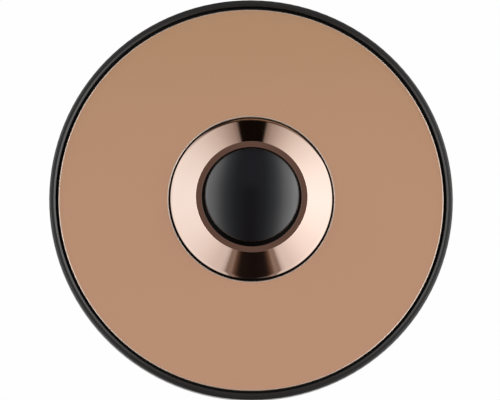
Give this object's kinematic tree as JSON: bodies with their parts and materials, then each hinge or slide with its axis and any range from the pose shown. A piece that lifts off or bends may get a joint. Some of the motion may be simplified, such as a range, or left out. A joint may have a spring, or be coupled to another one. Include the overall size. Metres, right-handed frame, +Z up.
{
  "type": "doorbell push button",
  "caption": "Round surface-mounted doorbell push: black plastic housing ring, satin copper face disc, polished conical collar and a domed black button that travels in and springs back.",
  "frame": {"origin": "middle of the base's back face, on the wall", "axes": "+Z up the wall, +Y into the wall, the button faces -Y, +X to the right of someone facing the button"},
  "size_m": [0.07, 0.0216, 0.07],
  "materials": {
    "black_gloss_plastic": "smooth moulded black, glossy",
    "satin_copper": "satin copper plate, evenly bead-blasted",
    "polished_copper": "turned, polished and copper plated",
    "button_black": "polished black",
    "black_rubber": "matt",
    "base_plastic": "fine spark-eroded texture",
    "tape": "acrylic foam tape",
    "bush_plastic": "natural acetal",
    "carrier_plastic": "ivory thermoset",
    "plain_brass": "stamped and turned, bright",
    "zinc_steel": "zinc plated",
    "spring_steel": "drawn and blued, light oil",
    "black_steel": "black oxide",
    "silver": "silver contact metal"
  },
  "bodies": {
    "housing": {"front_shell": "black_gloss_plastic", "face_disc": "satin_copper", "adhesive_ring": "tape", "collar": "polished_copper", "collar_gasket": "black_rubber", "collar_nut": "plain_brass", "lock_washer": "zinc_steel", "spring_retainer": "bush_plastic", "retaining_ring": "black_steel", "return_spring": "spring_steel", "wall_base": "base_plastic", "wall_seal": "black_rubber", "cable_grommet": "black_rubber", "locking_insert": "plain_brass", "locking_screw": "black_steel", "switch_carrier": "carrier_plastic", "contact_left": "plain_brass", "contact_right": "plain_brass", "contact_rivets": "silver", "terminal_clamps": "zinc_steel", "terminal_screws": "zinc_steel", "carrier_screws": "zinc_steel"},
    "button": {"button_cap": "button_black", "contact_bridge": "plain_brass", "bridge_rivets": "silver", "bridge_clip": "black_steel"}
  },
  "joints": [
    {"name": "button_press", "type": "slide", "parent": "housing", "child": "button", "axis": [0, 1, 0], "range_m": [0, 0.002], "stiffness_N_per_m": 460, "springref_m": -0.0035, "deforming": ["return_spring"]}
  ]
}
